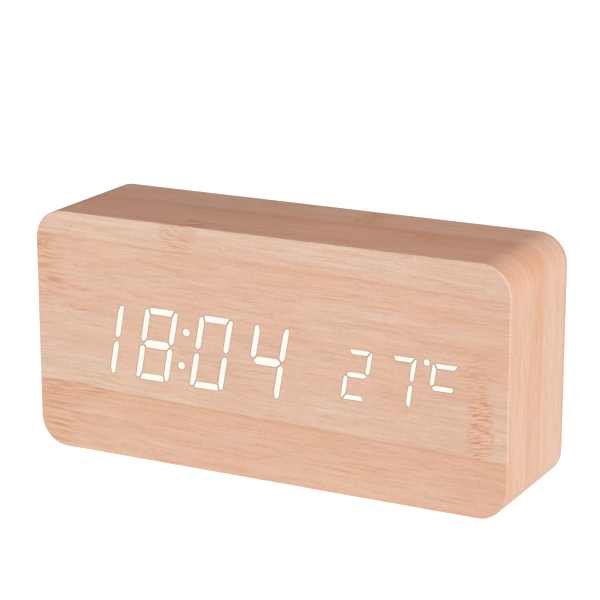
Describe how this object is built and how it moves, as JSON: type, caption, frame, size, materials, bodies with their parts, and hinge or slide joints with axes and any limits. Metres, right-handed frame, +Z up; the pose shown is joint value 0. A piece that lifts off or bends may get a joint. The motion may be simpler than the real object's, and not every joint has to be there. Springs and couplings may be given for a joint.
{
  "type": "digital led desk clock",
  "caption": "Rounded block desk clock in a bamboo-look film, with sloped light bars for time and temperature, push buttons and a latched battery door in its back cover.",
  "frame": {"origin": "middle of the case's flat underside", "axes": "+X to the right seen from the front, +Y from the face to the back, +Z up"},
  "size_m": [0.15, 0.041, 0.072],
  "materials": {
    "bamboo_film": "satin printed film",
    "fibreboard": "raw",
    "cover_plastic": "fine moulded texture",
    "screw_steel": "zinc plated",
    "light_box_plastic": "matt",
    "lit_guide": "diffusing, lit",
    "clear_guide": "diffusing",
    "light_chip": "clear over phosphor",
    "circuit_board": "solder mask",
    "chip_plastic": "moulded",
    "can_metal": "plated",
    "contact_metal": "nickel plated",
    "cell_sleeve": "plain printed sleeve",
    "button_plastic": "polished",
    "stem_plastic": "moulded",
    "socket_plastic": "moulded",
    "red_lead": "sleeved wire",
    "black_lead": "sleeved wire",
    "ribbon_grey": "flat cable",
    "sensor_bead": "coated bead"
  },
  "bodies": {
    "root": {"alarm_buzzer": "chip_plastic", "back_cover": "cover_plastic", "back_film": "bamboo_film", "backup_cell": "can_metal", "backup_cell_holder": "chip_plastic", "bars_unlit": "clear_guide", "base_film": "bamboo_film", "battery_cell_1": "cell_sleeve", "battery_cell_2": "cell_sleeve", "battery_cell_3": "cell_sleeve", "battery_lead_black": "black_lead", "battery_lead_red": "red_lead", "battery_lead_socket": "socket_plastic", "bridge_contact_1": "contact_metal", "bridge_contact_2": "contact_metal", "case_frame": "fibreboard", "chip_resistors": "chip_plastic", "controller_chip": "chip_plastic", "cover_screws": "screw_steel", "display_board": "circuit_board", "display_screws": "screw_steel", "front_board": "fibreboard", "front_film": "bamboo_film", "key_board": "circuit_board", "key_board_screws": "screw_steel", "light_box": "light_box_plastic", "light_chips": "light_chip", "microphone": "can_metal", "negative_contact": "contact_metal", "positive_contact": "contact_metal", "power_socket_shell": "can_metal", "power_socket_tongue": "chip_plastic", "ribbon_cable": "ribbon_grey", "ribbon_sockets": "socket_plastic", "sensor_board": "circuit_board", "sensor_board_screws": "screw_steel", "sensor_lead": "black_lead", "sensor_lead_socket": "socket_plastic", "side_film": "bamboo_film", "smoothing_capacitor": "can_metal", "switch_bodies": "chip_plastic", "temperature_bars_lit": "lit_guide", "temperature_sensor": "sensor_bead", "time_bars_lit": "lit_guide", "timer_chip": "chip_plastic", "timing_crystal": "can_metal"},
    "battery_door": {"battery_door": "cover_plastic"},
    "set_button": {"set_button": "button_plastic", "set_plunger": "stem_plastic"},
    "up_button": {"up_button": "button_plastic", "up_plunger": "stem_plastic"},
    "down_button": {"down_button": "button_plastic", "down_plunger": "stem_plastic"}
  },
  "joints": [
    {"name": "battery_door_hinge", "type": "hinge", "parent": "root", "child": "battery_door", "pos_m": [0, 0.0195, 0.01545], "axis": [-1, 0, 0], "range_deg": [0, 80]},
    {"name": "set_button_press", "type": "slide", "parent": "root", "child": "set_button", "axis": [0, -1, 0], "range_m": [0, 0.0005], "stiffness_N_per_m": 1000},
    {"name": "up_button_press", "type": "slide", "parent": "root", "child": "up_button", "axis": [0, -1, 0], "range_m": [0, 0.0005], "stiffness_N_per_m": 1000},
    {"name": "down_button_press", "type": "slide", "parent": "root", "child": "down_button", "axis": [0, -1, 0], "range_m": [0, 0.0005], "stiffness_N_per_m": 1000}
  ]
}
